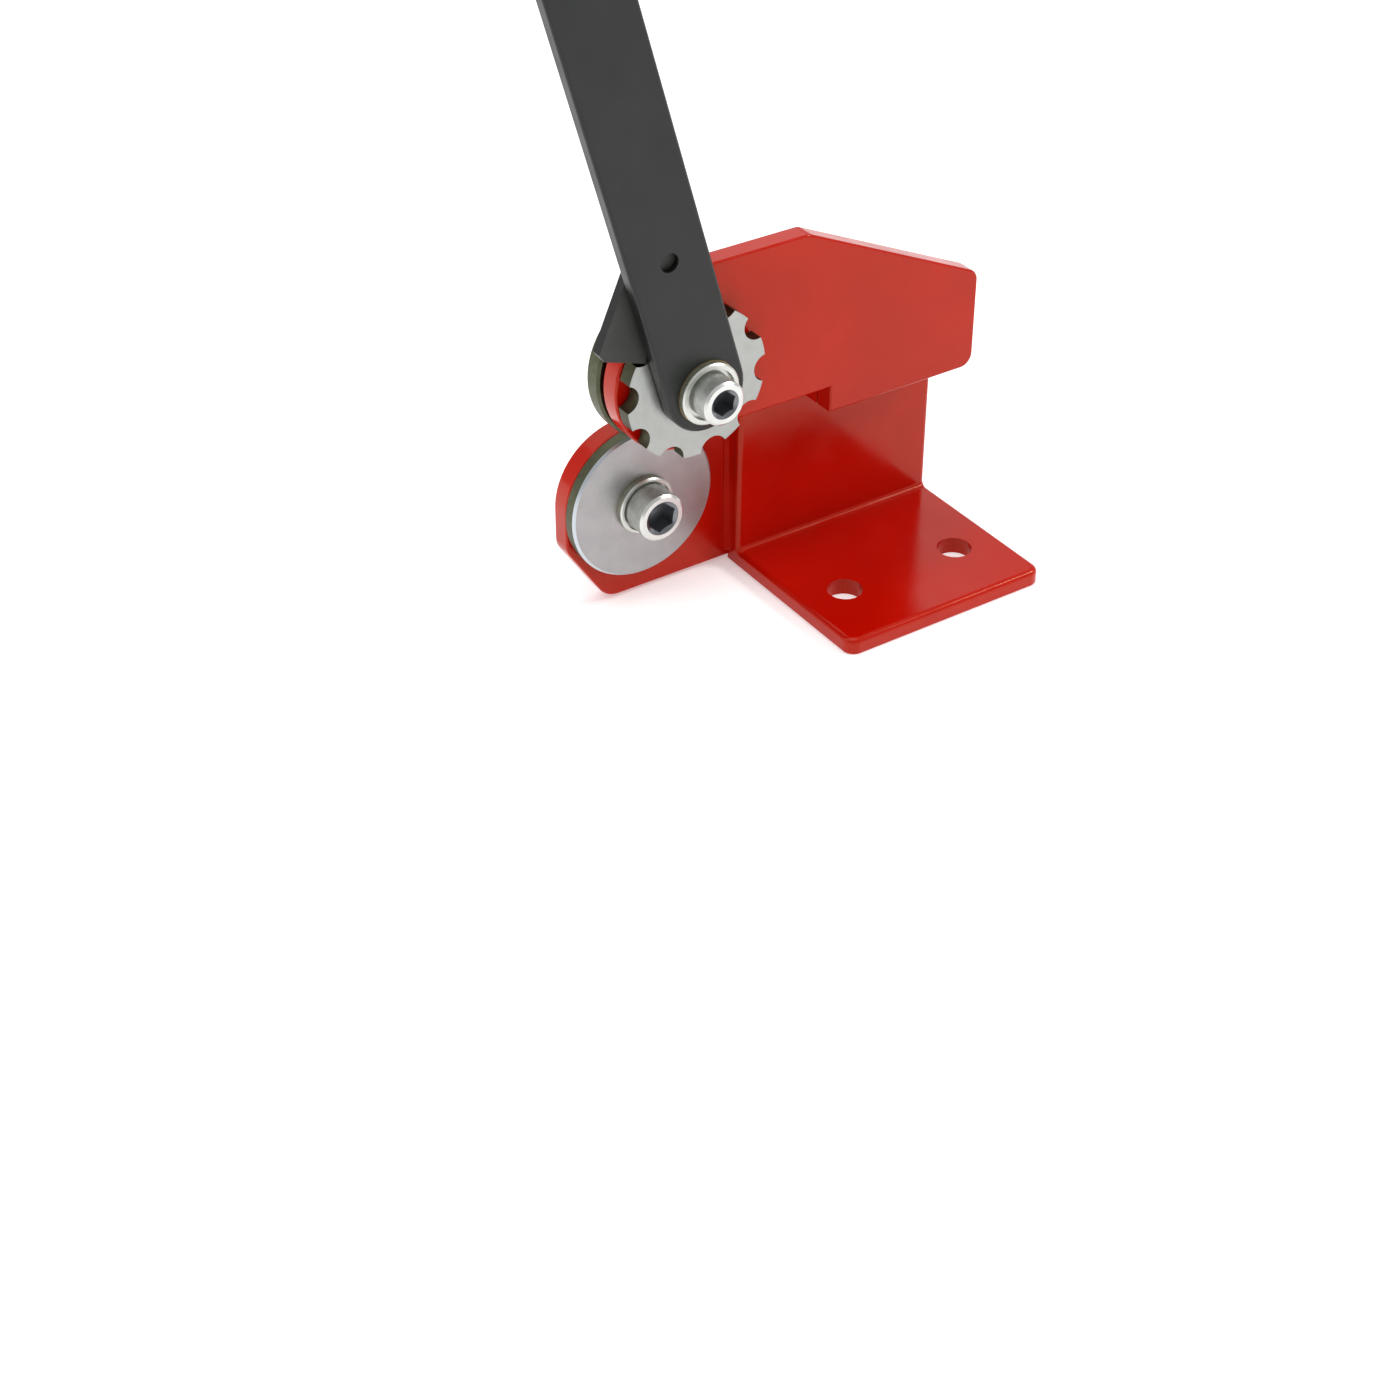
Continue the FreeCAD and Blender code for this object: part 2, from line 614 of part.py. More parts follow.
def lower_axle_pieces():
    """Bush, thrust washer, collar, screw and lock nut of the lower wheel."""
    turned("lower_bush", LOWER_AXIS,
           tube_profile("dims.axle_screw_r", "dims.lower_bush_r", LOWER_COLLAR_REAR, LEG_BACK))
    turned("lower_thrust_washer", LOWER_AXIS,
           tube_profile("dims.lower_bush_r", "dims.lower_washer_r",
                        LOWER_WHEEL_REAR + " + dims.side_gap", LEG_BACK))
    cupped_collar("lower_collar", LOWER_AXIS, "axle", LOWER_COLLAR_REAR)
    head_seat = LOWER_COLLAR_REAR + " - dims.collar_thick + dims.cup_depth"
    arm_rear = LEG_BACK + " + dims.arm_thick"
    nut_rear = arm_rear + " + dims.lower_nut_height"
    cap_screw("lower_axle_screw", LOWER_AXIS, "axle", head_seat + " - dims.axle_head_height",
              nut_rear + " + dims.nut_standout")
    lock_nut(arm_rear)


def lock_nut(front):
    """Hexagon nut with a round locking ring at its rear end."""
    body = new_body("lower_lock_nut", LOWER_AXIS)
    hexagon_height = "dims.lower_nut_height - dims.nut_ring_height"
    sketch = new_sketch(body, "XZ_Plane", f"-({front} + {hexagon_height})")
    draw_hexagon(sketch, "dims.lower_nut_af")
    pad(body, sketch, hexagon_height)
    nut_rear = f"{front} + dims.lower_nut_height"
    ring = new_sketch(body, "XZ_Plane", f"-({nut_rear})")
    draw_circle(ring, "dims.nut_ring_r")
    pad(body, ring, "dims.nut_ring_height")
    drill(body, "dims.axle_screw_r", nut_rear, "dims.lower_nut_height")


# ---------------------------------------------------------------- drive shaft

WHEEL_REAR = "dims.cut_y - dims.cut_gap"
WHEEL_FRONT = WHEEL_REAR + " - dims.upper_wheel_thick"
RATCHET_REAR = "dims.ratchet_front_y + dims.ratchet_thick"
SHAFT_FRONT = "dims.lever_front_y - dims.side_gap"
HUB_BORE = "dims.shaft_r"


def draw_key(sketch):
    """The section of a key above the shaft's centre, half in the shaft and half in its hub."""
    half = "dims.key_width / 2"
    draw_polygon(sketch, [
        (f"-{half}", "dims.key_inner_r"),
        (half, "dims.key_inner_r"),
        (half, "dims.key_outer_r"),
        (f"-{half}", "dims.key_outer_r"),
    ])


def cut_keyway(body, rear, length):
    sketch = new_sketch(body, "XZ_Plane", f"-({rear})")
    draw_key(sketch)
    pocket(body, sketch, length, reverse=True)


def key(name, rear, length):
    body = new_body(name, UPPER_AXIS)
    sketch = new_sketch(body, "XZ_Plane", f"-({rear})")
    draw_key(sketch)
    pad(body, sketch, length)


def drive_shaft():
    """Shaft from the lever's front to the upper wheel's rear, tapped at both ends, with two keyways."""
    body = turned("drive_shaft", UPPER_AXIS, [
        ("0", SHAFT_FRONT),
        ("dims.shaft_r", SHAFT_FRONT),
        ("dims.shaft_r", WHEEL_REAR),
        ("0", WHEEL_REAR),
    ])
    for rear in (SHAFT_FRONT + " + dims.shaft_screw_depth", WHEEL_REAR):
        drill(body, "dims.shaft_screw_r", rear, "dims.shaft_screw_depth")
    cut_keyway(body, WHEEL_REAR, "dims.upper_wheel_thick")
    cut_keyway(body, RATCHET_REAR, "dims.ratchet_thick")


def upper_cutter_wheel():
    """Disc keyed to the shaft. Its rear face is the cutting plane, less the gap."""
    body = turned("upper_cutter_wheel", UPPER_AXIS, [
        (HUB_BORE, WHEEL_FRONT),
        ("dims.wheel_r - dims.wheel_chamfer", WHEEL_FRONT),
        ("dims.wheel_r", WHEEL_FRONT + " + dims.wheel_chamfer"),
        ("dims.wheel_r", WHEEL_REAR),
        (HUB_BORE, WHEEL_REAR),
    ])
    cut_keyway(body, WHEEL_REAR, "dims.upper_wheel_thick")


def ratchet_wheel():
    """Plate wheel with round scallops cut into its rim, and a keyway."""
    body = turned("ratchet_wheel", UPPER_AXIS,
                  tube_profile(HUB_BORE, "dims.ratchet_r", "dims.ratchet_front_y", RATCHET_REAR))
    cut_keyway(body, RATCHET_REAR, "dims.ratchet_thick")
    sketch = new_sketch(body, "XZ_Plane", f"-({RATCHET_REAR})")
    draw_circle(sketch, "dims.notch_r",
                "dims.notch_centre_r * cos(dims.notch_angle * 1 deg)",
                "dims.notch_centre_r * sin(dims.notch_angle * 1 deg)")
    notch = pocket(body, sketch, "dims.ratchet_thick", reverse=True)
    pattern = body.newObject("PartDesign::PolarPattern", "ratchet_notches")
    pattern.Originals = [notch]
    pattern.Axis = ([part for part in body.Origin.OriginFeatures if part.Role == "Y_Axis"][0], [""])
    pattern.Angle = 360
    pattern.setExpression("Occurrences", "dims.notch_count")
    body.Tip = pattern


def shaft_bush():
    """Flanged bush in the upper arm. Its front end stands out a little to keep the ratchet off the arm."""
    bore = "dims.shaft_r + dims.running_gap"
    front = RATCHET_REAR + " + dims.side_gap"
    arm_rear = "dims.upper_front_y + dims.arm_thick"
    flange_rear = arm_rear + " + dims.shaft_flange_thick"
    turned("shaft_bush", UPPER_AXIS, [
        (bore, front),
        ("dims.shaft_bush_r", front),
        ("dims.shaft_bush_r", arm_rear),
        ("dims.shaft_flange_r", arm_rear),
        ("dims.shaft_flange_r", flange_rear),
        (bore, flange_rear),
    ])


def shaft_end_pieces():
    """Collars and screws that close the two ends of the drive shaft."""
    for name, end, shaft_end in (("front", "1", SHAFT_FRONT), ("rear", "-1", WHEEL_REAR)):
        outward_rear = f"{end} * ({shaft_end})"
        seat = f"{outward_rear} - dims.collar_thick + dims.cup_depth"
        collar = cupped_collar(name + "_collar", UPPER_AXIS, "shaft", outward_rear)
        screw = cap_screw(name + "_cap_screw", UPPER_AXIS, "shaft", f"{seat} - dims.shaft_head_height",
                          f"{outward_rear} + dims.shaft_screw_depth")
        if name == "rear":
            turn_to_rear(collar)
            turn_to_rear(screw)


# ---------------------------------------------------------------- lever and pawl

LEVER_REAR = "dims.lever_front_y + dims.lever_thick"
PAWL_FRONT = LEVER_REAR + " + dims.pawl_gap"
PAWL_REAR = PAWL_FRONT + " + dims.pawl_thick"
PIN_REAR = PAWL_REAR + " + dims.pin_tail"


def lever_bar():
    """Flat bar with a round lower end about the shaft, a bush bore and a pivot pin hole."""
    body = new_lever_body("lever_bar")
    half = "dims.lever_width / 2"
    sketch = new_sketch(body, "XZ_Plane", f"-({LEVER_REAR})")
    draw_polygon(sketch, [
        (f"-{half}", "0"),
        (half, "0"),
        (half, "dims.lever_length"),
        (f"-{half}", "dims.lever_length"),
    ])
    pad(body, sketch, "dims.lever_thick")
    end = new_sketch(body, "XZ_Plane", f"-({LEVER_REAR})")
    draw_circle(end, half)
    pad(body, end, "dims.lever_thick")
    soften_outline(body, [size["lever_front_y"], size["lever_front_y"] + size["lever_thick"]],
                   "dims.lever_edge_r")
    drill(body, "dims.lever_bush_r", LEVER_REAR, "dims.lever_thick")
    drill(body, "dims.pin_r", LEVER_REAR, "dims.lever_thick", up="dims.pawl_pin_up")
    drill(body, "dims.spring_stop_r", LEVER_REAR, "dims.lever_thick / 2",
          "dims.spring_stop_x", "dims.spring_stop_up")


def lever_bush():
    """Bronze bush pressed into the bar, running on the drive shaft."""
    bore = "dims.shaft_r + dims.running_gap"
    body = new_lever_body("lever_bush")
    turn(body, tube_profile(bore, "dims.lever_bush_r", "dims.lever_front_y", LEVER_REAR))


def lever_grip():
    """Moulded grip pushed over the upper end of the bar."""
    body = new_lever_body("lever_grip")
    half = "dims.lever_width / 2 + dims.grip_wall"
    bottom = "dims.lever_length - dims.grip_length"
    top = "dims.lever_length + dims.grip_wall"
    sketch = new_sketch(body, "XZ_Plane", f"-({LEVER_REAR} + dims.grip_wall)")
    draw_polygon(sketch, [
        (f"-({half})", bottom),
        (half, bottom),
        (half, top),
        (f"-({half})", top),
    ])
    pad(body, sketch, "dims.lever_thick + 2 * dims.grip_wall")
    doc.recompute()
    bottom_z = size["lever_length"] - size["grip_length"]

    def outside(edge):
        return edge.BoundBox.ZMax > bottom_z + CLOSE
    dress(body, "Fillet", edges_through(body.Tip.Shape, outside), "dims.grip_open_r", "Radius")
    slot = new_sketch(body, "XZ_Plane", f"-({LEVER_REAR})")
    inner = "dims.lever_width / 2"
    draw_polygon(slot, [
        (f"-{inner}", bottom + " - dims.grip_wall"),
        (inner, bottom + " - dims.grip_wall"),
        (inner, "dims.lever_length"),
        (f"-{inner}", "dims.lever_length"),
    ])
    pocket(body, slot, "dims.lever_thick", reverse=True)


def pawl():
    """Triangular pawl with a round boss about its pin. Its nose sits in a notch of the ratchet."""
    body = new_lever_body("pawl")
    sketch = new_sketch(body, "XZ_Plane", f"-({PAWL_REAR})")
    draw_polygon(sketch, [
        ("dims.pawl_apex_x", "dims.pawl_apex_z"),
        ("dims.pawl_back_x", "dims.pawl_back_z"),
        ("dims.pawl_heel_x", "dims.pawl_heel_z"),
        ("dims.pawl_nose_x", "dims.pawl_nose_z"),
        ("dims.pawl_throat_x", "dims.pawl_throat_z"),
        ("dims.pawl_front_x", "dims.pawl_front_z"),
    ])
    pad(body, sketch, "dims.pawl_thick")
    boss = new_sketch(body, "XZ_Plane", f"-({PAWL_REAR})")
    draw_circle(boss, "dims.pawl_boss_r", up="dims.pawl_pin_up")
    pad(body, boss, "dims.pawl_thick")
    drill(body, "dims.pin_r + dims.running_gap", PAWL_REAR, "dims.pawl_thick", up="dims.pawl_pin_up")
    drill(body, "dims.spring_hole_r", PAWL_REAR, "dims.spring_hole_depth",
          "dims.spring_hook_x", "dims.spring_hook_up")


def turned_on_pin(name, profile):
    """A turned piece on the pawl's pin, in the lever's frame."""
    body = new_lever_body(name)
    lean = "(dims.lever_lean * 1 deg)"
    body.setExpression("Placement.Base.x", f"dims.upper_axis_x - dims.pawl_pin_up * sin{lean}")
    body.setExpression("Placement.Base.z", f"dims.upper_axis_z + dims.pawl_pin_up * cos{lean}")
    turn(body, profile)


def pawl_pin_pieces():
    """Pivot pin with a groove near its rear end, and the retaining ring in that groove."""
    ring_rear = PIN_REAR + " - dims.ring_inset"
    ring_front = ring_rear + " - dims.ring_thick"
    front = "dims.lever_front_y + dims.pin_recess"
    turned_on_pin("pawl_pivot_pin", [
        ("0", front),
        ("dims.pin_r", front),
        ("dims.pin_r", ring_front),
        ("dims.ring_groove_r", ring_front),
        ("dims.ring_groove_r", ring_rear),
        ("dims.pin_r", ring_rear),
        ("dims.pin_r", PIN_REAR),
        ("0", PIN_REAR),
    ])
    turned_on_pin("pawl_retaining_ring",
                  tube_profile("dims.ring_groove_r", "dims.ring_r", ring_front, ring_rear))


def spring_stop_pin():
    """Small pin pressed into the rear of the bar, where the upper leg of the spring rests."""
    body = new_lever_body("spring_stop_pin")
    rear = PIN_REAR + " - dims.ring_inset"
    sketch = new_sketch(body, "XZ_Plane", f"-({rear})")
    draw_circle(sketch, "dims.spring_stop_r", "dims.spring_stop_x", "dims.spring_stop_up")
    pad(body, sketch, f"{rear} - ({LEVER_REAR}) + dims.lever_thick / 2")


def pawl_spring():
    """Torsion spring round the pin: a coil behind the pawl, one leg on the stop pin, one in the pawl.

    PartDesign has no torsion spring, so its wire is swept along a path worked out from the sheet's sizes.
    """
    pin_up = size["pawl_pin_up"]
    wire = size["spring_wire_r"]
    pawl_rear = size["lever_front_y"] + size["lever_thick"] + size["pawl_gap"] + size["pawl_thick"]
    front_y = pawl_rear + size["side_gap"] + wire
    hook = FreeCAD.Vector(size["spring_hook_x"], 0, size["spring_hook_up"] - pin_up)
    stop = FreeCAD.Vector(size["spring_stop_x"], 0, size["spring_stop_up"] - pin_up)
    stop_clear = size["spring_stop_r"] + wire + size["side_gap"]
    stop_offset = size["spring_r"] + stop_clear
    leg_start = tangent_angle(hook, size["spring_r"], 1)
    leg_end = tangent_angle(stop, stop_offset, -1)
    coil = coil_points(leg_start, leg_end, front_y)
    leg_direction = FreeCAD.Vector(-math.sin(leg_end), 0, math.cos(leg_end))
    leg_length = math.sqrt(stop.Length ** 2 - stop_offset ** 2) + stop_clear
    hook_bend = FreeCAD.Vector(hook.x, front_y, hook.z)
    hook_tip = FreeCAD.Vector(hook.x, pawl_rear - size["spring_hook_depth"], hook.z)
    pieces = [
        tube_between(hook_tip, hook_bend, wire),
        tube_between(hook_bend, coil[0], wire),
        sweep_wire(coil, wire),
        tube_between(coil[-1], coil[-1] + leg_direction * leg_length, wire),
    ]
    for bend in (hook_bend, coil[0], coil[-1]):
        pieces.append(Part.makeSphere(size["spring_joint_r"], bend))
    place_on_pin("pawl_spring", pieces[0].multiFuse(pieces[1:]).removeSplitter())


def tangent_angle(point, offset, side):
    """Direction from the coil's centre at which a straight leg starts, to pass the point at this offset.

    The offset is from the centre: the coil's radius for a leg that runs straight to the point.
    """
    away = math.atan2(point.z, point.x)
    return away + side * math.acos(offset / point.Length)


def coil_points(start, end, front_y):
    """Points along the middle of the coil's wire, from one leg's angle round to the other's."""
    radius = size["spring_r"]
    steps_per_turn = 16
    turns = math.floor(size["spring_turns"])
    sweep = 2 * math.pi * turns + (end - start) % (2 * math.pi)
    length = size["spring_pitch"] * size["spring_turns"]
    steps = steps_per_turn * (turns + 1)
    points = []
    for i in range(steps + 1):
        angle = start + sweep * i / steps
        points.append(FreeCAD.Vector(radius * math.cos(angle), front_y + length * i / steps,
                                     radius * math.sin(angle)))
    return points


def tube_between(start, end, radius):
    return Part.makeCylinder(radius, (end - start).Length, start, end - start)


def sweep_wire(points, radius):
    curve = Part.BSplineCurve()
    curve.interpolate(points)
    direction = curve.tangent(curve.FirstParameter)[0]
    section = Part.Wire(Part.Circle(points[0], direction, radius).toShape())
    return Part.Wire(curve.toShape()).makePipeShell([section], True, True)


def place_on_pin(name, shape):
    """A piece made directly as a shape, whose origin is the pawl's pin in the lever's frame."""
    body = doc.addObject("Part::Feature", name)
    body.Label = name
    body.Shape = shape
    lean = FreeCAD.Rotation(FreeCAD.Vector(0, -1, 0), size["lever_lean"])
    axis = FreeCAD.Vector(size["upper_axis_x"], 0, size["upper_axis_z"])
    pin = axis + lean.multVec(FreeCAD.Vector(0, 0, size["pawl_pin_up"]))
    body.Placement = FreeCAD.Placement(pin, lean)
    nodes.append(body)


# ---------------------------------------------------------------- build, check and write

def check_document():
    """Stop if any object failed to compute, or if a piece's shape is missing or not valid."""
    doc.recompute()
    for item in doc.Objects:
        if "Invalid" in item.State or "Error" in item.State:
            raise RuntimeError(f"{item.Name} failed: {item.State}")
    for node in nodes:
        if node.Shape.isNull() or not node.Shape.isValid():
            raise RuntimeError(f"{node.Label} has no valid shape")


def write_parts():
    os.makedirs("parts", exist_ok=True)
    for node in nodes:
        node.Shape.exportStep(f"parts/{node.Label}.step")


angle_bracket()
lower_arm_plate()
upper_arm_plate()
spacer_block()
upper_frame_weld()
spacer_weld()
lower_frame_weld()
seam_weld()
lower_cutter_wheel()
lower_axle_pieces()
drive_shaft()
shaft_bush()
upper_cutter_wheel()
ratchet_wheel()
key("wheel_key", WHEEL_REAR, "dims.upper_wheel_thick")
key("ratchet_key", RATCHET_REAR, "dims.ratchet_thick")
shaft_end_pieces()
lever_bar()
lever_bush()
lever_grip()
pawl()
pawl_pin_pieces()
spring_stop_pin()
pawl_spring()
check_document()
write_parts()
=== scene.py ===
import json
import math

import bmesh
import bpy
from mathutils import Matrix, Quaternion, Vector


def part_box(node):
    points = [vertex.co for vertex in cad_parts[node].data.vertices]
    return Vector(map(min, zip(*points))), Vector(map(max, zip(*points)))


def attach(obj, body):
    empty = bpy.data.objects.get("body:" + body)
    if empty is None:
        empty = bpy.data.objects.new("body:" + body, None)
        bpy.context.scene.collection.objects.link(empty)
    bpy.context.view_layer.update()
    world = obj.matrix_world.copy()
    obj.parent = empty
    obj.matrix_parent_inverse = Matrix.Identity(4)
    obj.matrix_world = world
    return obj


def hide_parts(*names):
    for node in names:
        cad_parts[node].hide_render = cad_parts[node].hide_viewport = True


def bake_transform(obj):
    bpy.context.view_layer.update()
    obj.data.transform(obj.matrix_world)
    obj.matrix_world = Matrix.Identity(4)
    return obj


# The looks of a hand-lever rotary shear, built round its imported CAD model.
# Everything is in metres, in the row frame: X along the frame, Y to the rear, Z up, and the foot's
# underside on the floor. The CAD pieces keep their meshes and get procedural finishes, apart from six that
# are modelled here instead: the four weld beads and the moulded grip, whose real shape is softer than the
# CAD's, and the pawl's spring, whose mesh is remade finer. The lock nut's nylon insert, which the CAD
# leaves out, is modelled here too.

MM = 0.001
RIGHT = Vector((1, 0, 0))
REAR = Vector((0, 1, 0))
UP = Vector((0, 0, 1))

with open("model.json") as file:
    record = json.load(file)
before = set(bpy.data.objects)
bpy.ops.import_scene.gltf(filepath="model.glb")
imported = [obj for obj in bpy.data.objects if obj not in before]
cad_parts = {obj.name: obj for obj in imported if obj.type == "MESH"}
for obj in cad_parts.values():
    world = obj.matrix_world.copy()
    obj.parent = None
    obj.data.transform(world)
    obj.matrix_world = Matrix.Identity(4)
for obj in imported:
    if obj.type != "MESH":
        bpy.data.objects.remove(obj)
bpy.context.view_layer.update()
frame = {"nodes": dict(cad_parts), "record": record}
NODES = frame["nodes"]


# ---------------------------------------------------------------- measures taken from the frame

def centre(node):
    low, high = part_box(node)
    return (low + high) / 2


def extent(node, direction):
    """Least and greatest distance of a node's points along a direction, from the row's origin."""
    along = [vertex.co.dot(direction) for vertex in NODES[node].data.vertices]
    return min(along), max(along)


LOWER_AXLE = centre("lower_cutter_wheel")
SHAFT = centre("upper_cutter_wheel")
PAWL_PIN = centre("pawl_pivot_pin")
LEVER_UP = Vector((PAWL_PIN.x - SHAFT.x, 0, PAWL_PIN.z - SHAFT.z)).normalized()
LEVER_ACROSS = Vector((LEVER_UP.z, 0, -LEVER_UP.x))


# ---------------------------------------------------------------- camera, light and floor

CAMERA_PLACE = Vector((-0.4973, -0.6094, 0.5219))
CAMERA_AZIMUTH = 35.253
CAMERA_ELEVATION = 34.077
CAMERA_ROLL = 1.071
CAMERA_LENS = 67.21
CAMERA_SHIFT = (-0.0423, -0.0662)
CAMERA_SENSOR = 36.0
CAMERA_CLIP = (0.01, 100.0)


def direction_of(azimuth, elevation):
    """Direction at this azimuth, from +Y towards +X, tilted down by the elevation, both in degrees."""
    turn, tilt = math.radians(azimuth), math.radians(elevation)
    return Vector((math.sin(turn) * math.cos(tilt), math.cos(turn) * math.cos(tilt), -math.sin(tilt)))


def make_camera():
    data = bpy.data.cameras.new("camera")
    data.lens = CAMERA_LENS
    data.sensor_width = CAMERA_SENSOR
    data.shift_x, data.shift_y = CAMERA_SHIFT
    data.clip_start, data.clip_end = CAMERA_CLIP
    camera = bpy.data.objects.new("camera", data)
    bpy.context.scene.collection.objects.link(camera)
    camera.location = CAMERA_PLACE
    look = direction_of(CAMERA_AZIMUTH, CAMERA_ELEVATION).to_track_quat("-Z", "Y")
    camera.rotation_mode = "QUATERNION"
    camera.rotation_quaternion = look @ Quaternion((0, 0, 1), math.radians(CAMERA_ROLL))
    bpy.context.scene.camera = camera


LIGHTS = [
    # name, place, width, height, power in watts, colour
    ("overhead_box", (-0.4, 0.0, 1.9), 1.7, 2.2, 20.0, (1.0, 1.0, 1.0)),
    ("key_box", (1.6, -0.9, 1.5), 0.6, 0.6, 22.0, (1.0, 0.99, 0.97)),
    ("left_box", (-1.6, 0.5, 0.8), 1.0, 1.2, 4.0, (0.97, 0.99, 1.0)),
    ("back_box", (0.3, 1.9, 1.5), 2.6, 1.3, 7.0, (1.0, 1.0, 1.0)),
]
LIGHT_AIM = Vector((-0.03, 0.03, 0.08))


def make_lights():
    for name, place, width, height, power, colour in LIGHTS:
        data = bpy.data.lights.new(name, "AREA")
        data.shape = "RECTANGLE"
        data.size = width
        data.size_y = height
        data.energy = power
        data.color = colour
        light = bpy.data.objects.new(name, data)
        bpy.context.scene.collection.objects.link(light)
        light.location = place
        light.rotation_mode = "QUATERNION"
        light.rotation_quaternion = (LIGHT_AIM - light.location).to_track_quat("-Z", "Y")


WORLD_STRENGTH = 0.55


def make_world():
    world = bpy.data.worlds.new("studio")
    world.use_nodes = True
    background = world.node_tree.nodes["Background"]
    background.inputs["Color"].default_value = (1.0, 1.0, 1.0, 1.0)
    background.inputs["Strength"].default_value = WORLD_STRENGTH
    bpy.context.scene.world = world


FLOOR_HALF = 12.0
FLOOR_TONE = 0.93
FLOOR_GLOW = 0.3


def make_floor():
    """Pale paper floor. Its faint glow lifts it to white without stronger lamps on the object."""
    build = bmesh.new()
    corners = [(-FLOOR_HALF, -FLOOR_HALF), (FLOOR_HALF, -FLOOR_HALF),
               (FLOOR_HALF, FLOOR_HALF), (-FLOOR_HALF, FLOOR_HALF)]
    build.faces.new([build.verts.new((x, y, 0)) for x, y in corners])
    floor = object_from("studio_floor", build)
    finish = Finish("floor_paper")
    finish.set("Base Color", (FLOOR_TONE, FLOOR_TONE, FLOOR_TONE, 1))
    finish.set("Roughness", 0.9)
    finish.set("Specular IOR Level", 0.2)
    finish.set("Emission Color", (1, 1, 1, 1))
    finish.set("Emission Strength", FLOOR_GLOW)
    floor.data.materials.append(finish.material)


# ---------------------------------------------------------------- node trees

# Places of the Mix node's inputs and outputs, which share their names between data types.
MIX_FACTOR = 0
MIX_NUMBERS = (2, 3)
MIX_COLOURS = (6, 7)
MIX_NUMBER_RESULT = 0
MIX_COLOUR_RESULT = 2


class Finish:
    """One procedural material, built with short calls."""

    def __init__(self, name):
        self.material = bpy.data.materials.new(name)
        self.material.use_nodes = True
        self.tree = self.material.node_tree
        self.shader = self.tree.nodes["Principled BSDF"]
        self.place = None

    def set(self, socket, value):
        self.shader.inputs[socket].default_value = value

    def drive(self, socket, source):
        self.tree.links.new(source, self.shader.inputs[socket])

    def add(self, kind, **settings):
        node = self.tree.nodes.new(kind)
        for key, value in settings.items():
            setattr(node, key, value)
        return node

    def feed(self, node, entry, value):
        """Link a socket, or write a number or vector, into an input of a node."""
        if isinstance(value, bpy.types.NodeSocket):
            self.tree.links.new(value, node.inputs[entry])
        else:
            node.inputs[entry].default_value = value

    def coords(self, output="Object"):
        if self.place is None:
            self.place = self.add("ShaderNodeTexCoord")
        return self.place.outputs[output]

    def maths(self, operation, first, second=0.0):
        node = self.add("ShaderNodeMath", operation=operation)
        self.feed(node, 0, first)
        self.feed(node, 1, second)
        return node.outputs[0]

    def vector(self, operation, first, second=(0, 0, 0)):
        node = self.add("ShaderNodeVectorMath", operation=operation)
        self.feed(node, 0, first)
        self.feed(node, 1, second)
        return node.outputs["Value" if operation in ("LENGTH", "DOT_PRODUCT") else "Vector"]

    def noise(self, scale, detail=2.0, vector=None, rough=0.5):
        node = self.add("ShaderNodeTexNoise")
        self.feed(node, "Vector", vector or self.coords())
        node.inputs["Scale"].default_value = scale
        node.inputs["Detail"].default_value = detail
        node.inputs["Roughness"].default_value = rough
        return node.outputs["Fac"]

    def noise_along(self, value, detail=3.0, rough=0.6):
        """Noise that varies with one number only, which makes lines."""
        node = self.add("ShaderNodeTexNoise", noise_dimensions="1D")
        self.feed(node, "W", value)
        node.inputs["Scale"].default_value = 1.0
        node.inputs["Detail"].default_value = detail
        node.inputs["Roughness"].default_value = rough
        return node.outputs["Fac"]

    def remap(self, value, low, high, new_low=0.0, new_high=1.0):
        """Carry a value smoothly from one range to another, and hold it at the ends."""
        node = self.add("ShaderNodeMapRange", interpolation_type="SMOOTHSTEP")
        self.feed(node, "Value", value)
        self.feed(node, "From Min", low)
        self.feed(node, "From Max", high)
        self.feed(node, "To Min", new_low)
        self.feed(node, "To Max", new_high)
        return node.outputs["Result"]

    def blend(self, factor, first, second):
        """Mix two colours: the first where the factor is 0, the second where it is 1."""
        node = self.add("ShaderNodeMix", data_type="RGBA")
        self.feed(node, MIX_FACTOR, factor)
        self.feed(node, MIX_COLOURS[0], first)
        self.feed(node, MIX_COLOURS[1], second)
        return node.outputs[MIX_COLOUR_RESULT]

    def blend_numbers(self, factor, first, second):
        """Mix two numbers: the first where the factor is 0, the second where it is 1."""
        node = self.add("ShaderNodeMix", data_type="FLOAT")
        self.feed(node, MIX_FACTOR, factor)
        self.feed(node, MIX_NUMBERS[0], first)
        self.feed(node, MIX_NUMBERS[1], second)
        return node.outputs[MIX_NUMBER_RESULT]

    def bump(self, height, distance, below=None, strength=1.0):
        node = self.add("ShaderNodeBump")
        node.inputs["Strength"].default_value = strength
        node.inputs["Distance"].default_value = distance
        self.feed(node, "Height", height)
        if below is not None:
            self.feed(node, "Normal", below)
        return node.outputs["Normal"]

    def edge_mask(self, radius, low=0.02, high=0.25):
        """1 on a sharp edge of the piece, 0 on its faces."""
        bevel = self.add("ShaderNodeBevel", samples=4)
        bevel.inputs["Radius"].default_value = radius
        normal = self.add("ShaderNodeNewGeometry").outputs["Normal"]
        facing = self.vector("DOT_PRODUCT", bevel.outputs["Normal"], normal)
        return self.remap(self.maths("SUBTRACT", 1.0, facing), low, high)

    def part_of(self, vector, letter):
        split = self.add("ShaderNodeSeparateXYZ")
        self.feed(split, 0, vector)
        return split.outputs[letter]

    def side_mask(self):
        """1 where the surface looks away from the Y axis, such as a rim, 0 on faces across it."""
        across = self.maths("ABSOLUTE", self.part_of(self.coords("Normal"), "Y"))
        return self.remap(across, 0.2, 0.6, 1.0, 0.0)

    def land_mask(self):
        """1 on a chamfer between a face across Y and a side."""
        across = self.maths("ABSOLUTE", self.part_of(self.coords("Normal"), "Y"))
        return self.maths("MULTIPLY", self.remap(across, 0.5, 0.6), self.remap(across, 0.8, 0.9, 1.0, 0.0))

